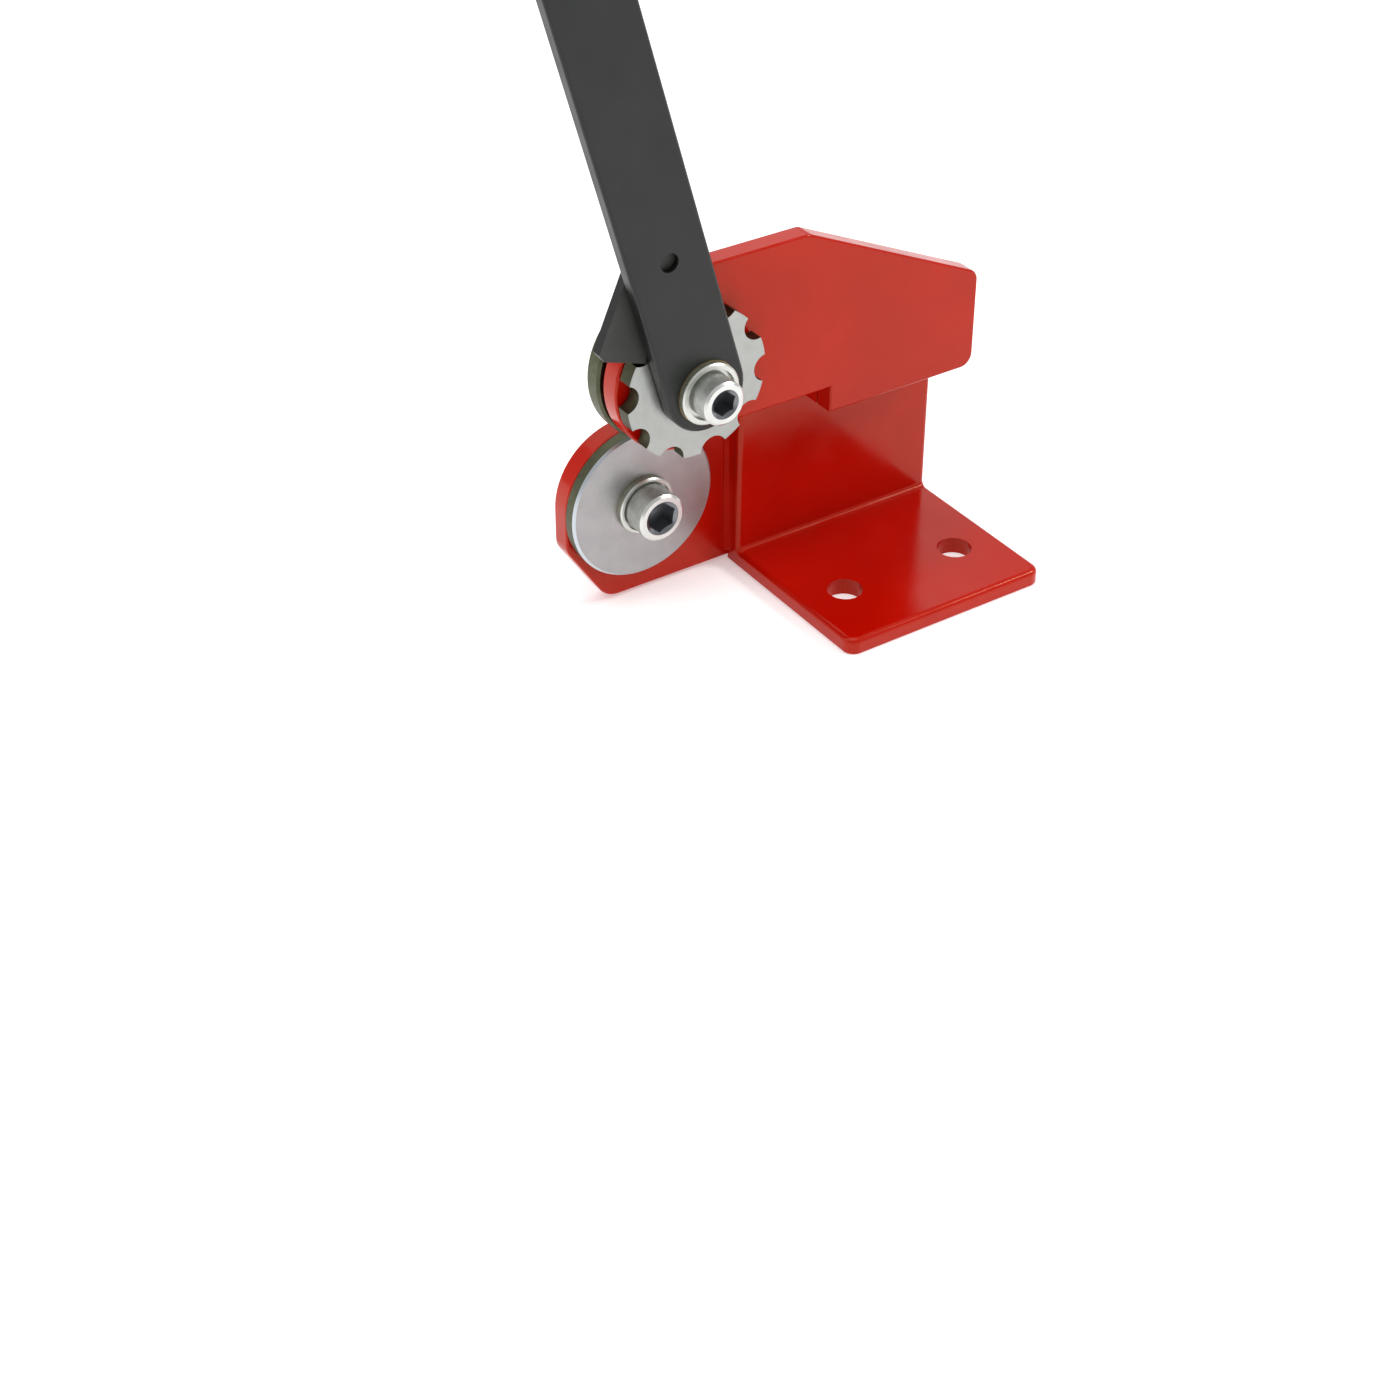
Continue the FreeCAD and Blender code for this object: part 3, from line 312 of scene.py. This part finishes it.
    def turned_lines(self, axis, per_metre):
        """Fine lines left by a lathe: rings on a face across Y, and rings along Y on a side.

        Returns the lines and the distance from the axis.
        """
        away = self.vector("SUBTRACT", self.coords(), tuple(axis))
        radius = self.vector("LENGTH", self.vector("MULTIPLY", away, (1, 0, 1)))
        along = self.maths("ADD", radius, self.part_of(away, "Y"))
        return self.noise_along(self.maths("MULTIPLY", along, per_metre)), radius


def colour(red, green, blue):
    """Linear colour with alpha, from the 0 to 255 scale of a display, by the sRGB curve."""
    values = []
    for channel in (red, green, blue):
        share = channel / 255
        values.append(share / 12.92 if share <= 0.04045 else ((share + 0.055) / 1.055) ** 2.4)
    return (*values, 1.0)


def gloss_enamel(name, edge_wear_and_highlight, shine):
    """Thick red enamel: deep colour and a smooth skin with a faint orange peel.

    Its edges pale by the given share, partly as paint worn thin there and partly as a painted edge
    highlight, and `shine` is its specular level.
    """
    finish = Finish(name)
    cloud = finish.noise(22, 3)
    base = finish.blend(finish.remap(cloud, 0.35, 0.65), colour(170, 9, 0), colour(180, 12, 1))
    patches = finish.remap(finish.noise(260, 3), 0.45, 0.7)
    # Pale edges: partly paint worn thin, partly a painted edge highlight.
    edge = finish.maths("MULTIPLY", finish.edge_mask(0.9 * MM), patches)
    base = finish.blend(finish.maths("MULTIPLY", edge, edge_wear_and_highlight), base, colour(185, 45, 32))
    finish.drive("Base Color", base)
    finish.drive("Roughness", finish.remap(finish.noise(70, 4), 0.3, 0.7, 0.14, 0.22))
    peel = finish.bump(finish.noise(330, 2), 0.05 * MM, strength=0.4)
    dimple = finish.bump(finish.noise(60, 1), 0.3 * MM, peel, strength=0.25)
    finish.drive("Normal", dimple)
    finish.set("IOR", 1.42)
    finish.set("Specular IOR Level", shine)
    # Painted reflection colour: the tint warms the enamel's reflections, which would be white on this
    # paint.
    finish.set("Specular Tint", (1.0, 0.78, 0.5, 1.0))
    return finish.material


def satin_black(name, first, second, side, roughness, grain):
    """Black paint or oxide with a satin skin, a fine grain and small rubbed places on its edges.

    Its tone varies from `first` to `second`, and is `side` on what looks away from the Y axis. On the oxide
    the side tone is near black, as painted shade.
    """
    finish = Finish(name)
    base = finish.blend(finish.remap(finish.noise(35, 4), 0.3, 0.7), first, second)
    base = finish.blend(finish.side_mask(), base, side)
    patches = finish.remap(finish.noise(400, 4), 0.55, 0.75)
    worn = finish.maths("MULTIPLY", finish.edge_mask(0.5 * MM), patches)
    base = finish.blend(finish.maths("MULTIPLY", worn, 0.35), base, colour(96, 96, 92))
    finish.drive("Base Color", base)
    smudges = finish.remap(finish.noise(90, 5), 0.3, 0.7, roughness - 0.05, roughness + 0.07)
    finish.drive("Roughness", smudges)
    finish.drive("Normal", finish.bump(finish.noise(grain, 2), 0.03 * MM, strength=0.5))
    finish.set("IOR", 1.42)
    return finish.material


def darker(tone, share):
    return (tone[0] * share, tone[1] * share, tone[2] * share, 1.0)


def metal(name, axis, face, side, roughness, lines=2600, side_rough=0.45, front=None, socket=0.0,
          chamfer_highlight=None, stripes=False):
    """Turned or ground metal about an axis along Y, with its own tone on rims and in bores.

    `lines` is how many lathe lines it has per metre. `roughness` is its faces', `side_rough` its sides'.
    `front` is another tone for faces that look to the front, a painted shade on the upper wheel. The tone
    on rims and in bores is painted shade on the wheels, the ratchet and the collars, and on the wheels'
    rims also a painted reflection. The tone for chamfers is a painted highlight. `socket` is the radius
    within which the metal is painted dark, as painted shade in a screw's hexagon, and `stripes` says that a
    laser cut its sides.
    """
    finish = Finish(name)
    finish.set("Metallic", 1.0)
    rings, radius = finish.turned_lines(axis, lines)
    mottle = finish.remap(finish.noise(140, 5, rough=0.6), 0.3, 0.7)
    tone = finish.blend(mottle, face, darker(face, 0.9))
    if front:
        to_front = finish.remap(finish.part_of(finish.coords("Normal"), "Y"), -0.5, -0.3, 1.0, 0.0)
        tone = finish.blend(to_front, tone, finish.blend(mottle, front, darker(front, 0.6)))
    if chamfer_highlight:
        tone = finish.blend(finish.land_mask(), tone, chamfer_highlight)
    on_side = finish.side_mask()
    side_tone = finish.blend(finish.remap(finish.noise(420, 4), 0.35, 0.7), side, darker(side, 0.8))
    tone = finish.blend(on_side, tone, side_tone)
    # Painted shade: inside the socket's radius the metal is painted dark.
    if socket:
        inside = finish.remap(radius, socket - SOCKET_SHADE_BLUR, socket + SOCKET_SHADE_BLUR, 1.0, 0.0)
        tone = finish.blend(inside, tone, SOCKET_SHADE)
    finish.drive("Base Color", tone)
    face_rough = finish.remap(rings, 0.25, 0.75, roughness - 0.05, roughness + 0.07)
    finish.drive("Roughness", finish.blend_numbers(on_side, face_rough, side_rough))
    skin = finish.bump(rings, 0.006 * MM, strength=0.5)
    skin = finish.bump(finish.noise(900, 3), 0.008 * MM, skin, strength=0.4)
    if stripes:
        skin = finish.bump(cut_stripes(finish, axis, on_side), 0.05 * MM, skin, strength=0.6)
    finish.drive("Normal", skin)
    return finish.material


def cut_stripes(finish, axis, on_side):
    """Stripes across the thickness of a plate's sides, as a laser leaves them."""
    away = finish.vector("SUBTRACT", finish.coords(), tuple(axis))
    flat = finish.vector("MULTIPLY", away, (1, 0, 1))
    return finish.maths("MULTIPLY", finish.noise(1700, 2, flat), on_side)


def moulded_grip():
    """Matt moulded rubber with a fine leathery grain."""
    finish = Finish("grip_rubber")
    finish.drive("Base Color", finish.blend(finish.remap(finish.noise(50, 4), 0.3, 0.7),
                                            colour(38, 38, 38), colour(52, 52, 51)))
    finish.drive("Roughness", finish.remap(finish.noise(120, 4), 0.3, 0.7, 0.55, 0.72))
    cells = finish.add("ShaderNodeTexVoronoi")
    finish.feed(cells, "Vector", finish.coords())
    cells.inputs["Scale"].default_value = 1500
    skin = finish.bump(cells.outputs["Distance"], 0.03 * MM, strength=0.5)
    finish.drive("Normal", finish.bump(finish.noise(300, 4), 0.05 * MM, skin, strength=0.35))
    return finish.material


def nylon():
    """Pale nylon of a lock nut's insert."""
    finish = Finish("nylon_insert")
    finish.drive("Base Color", finish.blend(finish.remap(finish.noise(600, 3), 0.3, 0.7),
                                            colour(205, 205, 196), colour(222, 222, 214)))
    finish.drive("Roughness", finish.remap(finish.noise(900, 3), 0.3, 0.7, 0.4, 0.55))
    finish.drive("Normal", finish.bump(finish.noise(1500, 2), 0.02 * MM, strength=0.4))
    finish.set("Subsurface Weight", 0.1)
    finish.set("Subsurface Radius", (0.002, 0.002, 0.002))
    return finish.material


# Painted shade and reflection: the dark olive of the cutter wheels' rims, and of the upper wheel's front
# face.
SHADED_OLIVE = colour(90, 92, 72)
# Painted shade for the inside of a screw's hexagon socket.
SOCKET_SHADE = colour(120, 122, 126)
SOCKET_SHADE_BLUR = 0.05 * MM
GROUND = colour(168, 166, 167)
ON_FACE = 0.01 * MM
AXIS_OF = {
    "lower_cutter_wheel": LOWER_AXLE, "lower_collar": LOWER_AXLE, "lower_axle_screw": LOWER_AXLE,
    "lower_lock_nut": LOWER_AXLE, "lower_bush": LOWER_AXLE, "lower_thrust_washer": LOWER_AXLE,
    "pawl_pivot_pin": PAWL_PIN, "pawl_retaining_ring": PAWL_PIN, "pawl_spring": PAWL_PIN,
    "spring_stop_pin": centre("spring_stop_pin"),
}


def socket_radius(node, axis):
    """Radius of the hexagon socket's mouth: the innermost point on the face of the screw's head."""
    low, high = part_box(node)
    face = high.y if node == "rear_cap_screw" else low.y
    radii = [math.hypot(vertex.co.x - axis.x, vertex.co.z - axis.z) for vertex in NODES[node].data.vertices
             if abs(vertex.co.y - face) < ON_FACE]
    return min(radii)


def hardware(name, axis, node):
    """Bright plated screws, collars and nut. A screw's socket is painted dark, as painted shade, and a
    collar's sides, its cup's wall among them, are painted an olive grey, as painted shade.
    """
    if node.endswith("screw"):
        return metal(name, axis, colour(214, 215, 212), colour(208, 210, 205), roughness=0.3,
                     lines=4200, side_rough=0.48, socket=socket_radius(node, axis))
    if node.endswith("collar"):
        # Painted shade: a collar's sides, its cup's wall among them, are an olive grey.
        return metal(name, axis, colour(206, 208, 203), colour(178, 180, 162), roughness=0.34,
                     lines=4200, side_rough=0.5)
    return metal(name, axis, colour(206, 208, 203), colour(196, 198, 192), roughness=0.26,
                 lines=3600, side_rough=0.28)


def make_finishes():
    """A maker for each of the record's material slots. Metals are made per node, for their turned lines."""
    red = gloss_enamel("red_enamel", edge_wear_and_highlight=0.1, shine=0.5)
    black = satin_black("black_enamel", colour(13, 17, 14), colour(19, 23, 20), colour(20, 22, 20),
                        roughness=0.33, grain=700)
    # Painted shade: the oxide's sides are near black, far darker than its faces.
    oxide = satin_black("black_oxide", colour(46, 47, 44), colour(55, 56, 53), colour(12, 12, 11),
                        roughness=0.48, grain=1100)
    grip = moulded_grip()

    def wheel(name, axis, node):
        if node == "upper_cutter_wheel":
            # Painted shade: the upper wheel's faces that look to the front, behind the arm, take the rims'
            # dark olive.
            return metal(name, axis, GROUND, SHADED_OLIVE, roughness=0.36, lines=3200, front=SHADED_OLIVE)
        # Painted highlight: the lower wheel's chamfer is painted a pale blue-grey.
        return metal(name, axis, GROUND, SHADED_OLIVE, roughness=0.36, lines=3200, chamfer_highlight=colour(190, 197, 203))

    def plated_plate(name, axis, node):
        # Painted shade: the ratchet's sides, the walls of its notches, are a dark olive.
        return metal(name, axis, colour(167, 169, 166), colour(74, 74, 56), roughness=0.33, lines=900,
                     stripes=True)

    def bronze(name, axis, node):
        return metal(name, axis, colour(176, 142, 98), colour(166, 132, 90), roughness=0.3)

    def spring_steel(name, axis, node):
        return metal(name, axis, colour(150, 150, 150), colour(140, 140, 142), roughness=0.3)

    def turned_steel(name, axis, node):
        return metal(name, axis, colour(166, 166, 168), colour(155, 155, 158), roughness=0.28,
                     lines=3600, side_rough=0.3)

    return {
        "red_enamel": lambda name, axis, node: red,
        "black_enamel": lambda name, axis, node: black,
        "black_oxide": lambda name, axis, node: oxide,
        "grip_rubber": lambda name, axis, node: grip,
        "ground_steel": wheel,
        "zinc_plate": plated_plate,
        "bright_hardware": hardware,
        "bronze": bronze,
        "spring_steel": spring_steel,
        "turned_steel": turned_steel,
    }


def dress_cad_nodes():
    """Give every CAD node the finish of its slot in the record. Returns the finish of each slot."""
    makers = make_finishes()
    finish_of = {}
    for part in frame["record"]["subparts"]:
        node, slot = part["node"], part["material_slot"]
        material = makers[slot](f"{slot}_{node}", AXIS_OF.get(node, SHAFT), node)
        finish_of[slot] = material
        for material_slot in NODES[node].material_slots:
            material_slot.material = material
    return finish_of


# ---------------------------------------------------------------- pieces modelled here

def object_from(name, build, smooth=False):
    """A linked object with the mesh that was built, its faces turned outwards."""
    mesh = bpy.data.meshes.new(name)
    bmesh.ops.recalc_face_normals(build, faces=build.faces)
    build.to_mesh(mesh)
    build.free()
    for polygon in mesh.polygons:
        polygon.use_smooth = smooth
    piece = bpy.data.objects.new(name, mesh)
    bpy.context.scene.collection.objects.link(piece)
    return piece


def skin_rings(build, rings, joined=False):
    """A closed skin through rings of equal length, with flat ends or with its ends joined into a loop."""
    made = [[build.verts.new(point) for point in ring] for ring in rings]
    count = len(made[0])
    following = made[1:] + made[:1] if joined else made[1:]
    for here, there in zip(made, following):
        for i in range(count):
            build.faces.new((here[i], here[(i + 1) % count], there[(i + 1) % count], there[i]))
    if not joined:
        build.faces.new(made[0])
        build.faces.new(made[-1])


BEAD_PITCH = 2.1 * MM
BEAD_STEPS_PER_RIPPLE = 6
BEAD_ARC_STEPS = 10
BEAD_CRESCENT = 0.9 * MM
BEAD_END = 2.4 * MM
BEAD_END_SIZE = 0.25
BEAD_RIPPLE_WIDTH = 0.6
BEAD_WANDER = ((0.04, 310, 0), (0.03, 730, 1))
FACES_ALONG = 0.999


def weld_bead(node, paint, corner, along, legs, length, reach, bulge=0.16, ripple_depth=0.07):
    """Fillet bead with crescent ripples, in the corner where the CAD has a plain prism.

    It starts at a corner and runs along one direction. `legs` are the two directions of its legs. A
    negative bulge makes it hollow. Its size wanders a little, in waves of a share, a pace and a phase.
    """
    steps = int(length / BEAD_PITCH) * BEAD_STEPS_PER_RIPPLE
    rings = []
    for i in range(steps + 1):
        place = length * i / steps
        from_end = min(1.0, min(place, length - place) / BEAD_END)
        taper = BEAD_END_SIZE + (1 - BEAD_END_SIZE) * math.sqrt(1 - (1 - from_end) ** 2)
        ripple = 1 - ripple_depth * abs(math.sin(math.pi * place / BEAD_PITCH)) ** BEAD_RIPPLE_WIDTH
        wander = 1 + sum(share * math.sin(place * pace + phase) for share, pace, phase in BEAD_WANDER)
        size = reach * taper * ripple * wander
        ring = [corner + along * place]
        for k in range(BEAD_ARC_STEPS + 1):
            share = k / BEAD_ARC_STEPS
            across = math.sin(math.pi * share)
            shifted = min(max(place - BEAD_CRESCENT * across * from_end, 0.0), length)
            ring.append(corner + along * shifted + legs[0] * size * (1 - share + bulge * across)
                        + legs[1] * size * (share + bulge * across))
        rings.append(ring)
    build = bmesh.new()
    skin_rings(build, rings)
    bead = object_from(node + "_bead", build, smooth=True)
    for polygon in bead.data.polygons:
        against_plate = max(abs(polygon.normal.dot(leg)) for leg in legs) > FACES_ALONG
        polygon.use_smooth = not against_plate
    bead.data.materials.append(paint)
    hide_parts(node)
    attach(bead, "frame")


def weld_beads(paint):
    """Three level beads that grow to the rear and upwards, and the ground upright seam at the leg's end."""
    for node in ("upper_frame_weld", "spacer_weld", "lower_frame_weld"):
        low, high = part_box(node)
        weld_bead(node, paint, low, RIGHT, (REAR, UP), high.x - low.x, high.z - low.z)
    low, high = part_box("seam_weld")
    corner = Vector((high.x, high.y, low.z))
    weld_bead("seam_weld", paint, corner, UP, (-RIGHT, -REAR),
              high.z - low.z, high.x - low.x, bulge=-0.17, ripple_depth=0.0)


GRIP_RIB_PITCH = 5.0 * MM
GRIP_RIB_DEPTH = 0.8 * MM
GRIP_FLANGE = 4.0 * MM
GRIP_FLANGE_ROUND = 0.9 * MM
GRIP_NECK = 1.1 * MM
GRIP_NECK_LENGTH = 4.0 * MM
GRIP_PLAIN_END = 12.0 * MM
GRIP_CORNER = 4.6 * MM
GRIP_LEAST_CORNER = 0.6 * MM
GRIP_DOME = 5.0 * MM
GRIP_DOME_INSET = 4.0 * MM
GRIP_STEP = 0.5 * MM
GRIP_CORNER_STEPS = 8


def rounded_rectangle(half_across, half_thick, corner):
    """Points of a rectangle with round corners, across and thick, about its centre."""
    points = []
    for quarter, (side_a, side_t) in enumerate(((1, 1), (-1, 1), (-1, -1), (1, -1))):
        for i in range(GRIP_CORNER_STEPS + 1):
            angle = math.pi / 2 * (quarter + i / GRIP_CORNER_STEPS)
            points.append((side_a * (half_across - corner) + corner * math.cos(angle),
                           side_t * (half_thick - corner) + corner * math.sin(angle)))
    return points


def grip_inset(along, length):
    """How far the grip's skin lies inside its largest outline, at a distance from its lower end."""
    if along < GRIP_FLANGE:
        edge = min(along, GRIP_FLANGE - along) / (GRIP_FLANGE / 2)
        return GRIP_FLANGE_ROUND * (1 - math.sqrt(1 - (1 - edge) ** 2))
    to_top = length - along
    if to_top < GRIP_DOME:
        edge = 1 - to_top / GRIP_DOME
        return GRIP_DOME_INSET * (1 - math.sqrt(1 - edge ** 2))
    neck = GRIP_NECK * max(0.0, 1 - (along - GRIP_FLANGE) / GRIP_NECK_LENGTH) ** 2
    if along < GRIP_PLAIN_END or to_top < GRIP_PLAIN_END:
        return neck
    phase = (along - GRIP_PLAIN_END) / GRIP_RIB_PITCH
    groove = max(0.0, math.cos(2 * math.pi * phase)) ** 3
    return neck + GRIP_RIB_DEPTH * groove


def moulded_hand_grip(material):
    """Ribbed grip with a flange at its lower end and a domed top, over the upper end of the bar."""
    low, high = extent("lever_grip", LEVER_UP)
    left, right = extent("lever_grip", LEVER_ACROSS)
    front, rear = extent("lever_grip", REAR)
    length = high - low
    middle = LEVER_ACROSS * (left + right) / 2 + REAR * (front + rear) / 2
    rings = []
    steps = round(length / GRIP_STEP)
    for i in range(steps + 1):
        along = length * i / steps
        inset = grip_inset(along, length)
        outline = rounded_rectangle((right - left) / 2 - inset, (rear - front) / 2 - inset,
                                    max(GRIP_CORNER - inset, GRIP_LEAST_CORNER))
        base = middle + LEVER_UP * (low + along)
        rings.append([base + LEVER_ACROSS * across + REAR * thick for across, thick in outline])
    build = bmesh.new()
    skin_rings(build, rings)
    grip = object_from("moulded_grip", build, smooth=True)
    grip.data.materials.append(material)
    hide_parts("lever_grip")
    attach(grip, "lever")


INSERT_SECTION_STEPS = 12
INSERT_TURN_STEPS = 64
INSERT_HALF_WIDTH = 0.75 * MM
INSERT_PROUD = 0.3 * MM
BUSH_WALL = 2.0 * MM


def lock_nut_insert():
    """Nylon ring that shows round the screw at the rear of the lock nut."""
    left, right = extent("lower_bush", RIGHT)
    screw_radius = (right - left) / 2 - BUSH_WALL
    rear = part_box("lower_lock_nut")[1].y
    middle = Vector((LOWER_AXLE.x, rear, LOWER_AXLE.z))
    rings = []
    for i in range(INSERT_TURN_STEPS):
        turn = 2 * math.pi * i / INSERT_TURN_STEPS
        outward = Vector((math.cos(turn), 0, math.sin(turn)))
        ring = []
        for k in range(INSERT_SECTION_STEPS):
            angle = 2 * math.pi * k / INSERT_SECTION_STEPS
            radius = screw_radius + INSERT_HALF_WIDTH * (1 + math.cos(angle))
            ring.append(middle + outward * radius + REAR * INSERT_PROUD * math.sin(angle))
        rings.append(ring)
    build = bmesh.new()
    skin_rings(build, rings, joined=True)
    insert = object_from("lock_nut_insert", build, smooth=True)
    insert.data.materials.append(nylon())
    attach(insert, "frame")


SPRING_STEP = 1.0 * MM
SPRING_CUTS = 7
SPRING_SAME_POINT = 0.001 * MM
SPRING_TIP = 0.05 * MM


def flexing_spring(steel):
    """The pawl's spring, remade from the CAD's mesh with its long edges cut finer and its faces split into
    triangles.
    """
    build = bmesh.new()
    build.from_mesh(NODES["pawl_spring"].data)
    bmesh.ops.remove_doubles(build, verts=build.verts, dist=SPRING_SAME_POINT)
    long_edges = [edge for edge in build.edges if edge.calc_length() > SPRING_STEP]
    bmesh.ops.subdivide_edges(build, edges=long_edges, cuts=SPRING_CUTS)
    bmesh.ops.triangulate(build, faces=build.faces)
    front = min(vertex.co.y for vertex in build.verts)
    tip = [vertex.co for vertex in build.verts if vertex.co.y - front < SPRING_TIP]
    hook = sum(tip, Vector()) / len(tip)
    hook.y = PAWL_PIN.y
    spring = object_from("pawl_spring_wire", build, smooth=True)
    spring.data.materials.append(steel)
    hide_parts("pawl_spring")
    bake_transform(spring)


# ---------------------------------------------------------------- the scene

bpy.context.scene.view_settings.view_transform = "Standard"
make_camera()
make_lights()
make_world()
make_floor()
finishes = dress_cad_nodes()
weld_beads(gloss_enamel("red_enamel_in_corners", edge_wear_and_highlight=0.0, shine=0.1))
moulded_hand_grip(finishes["grip_rubber"])
lock_nut_insert()
flexing_spring(finishes["spring_steel"])
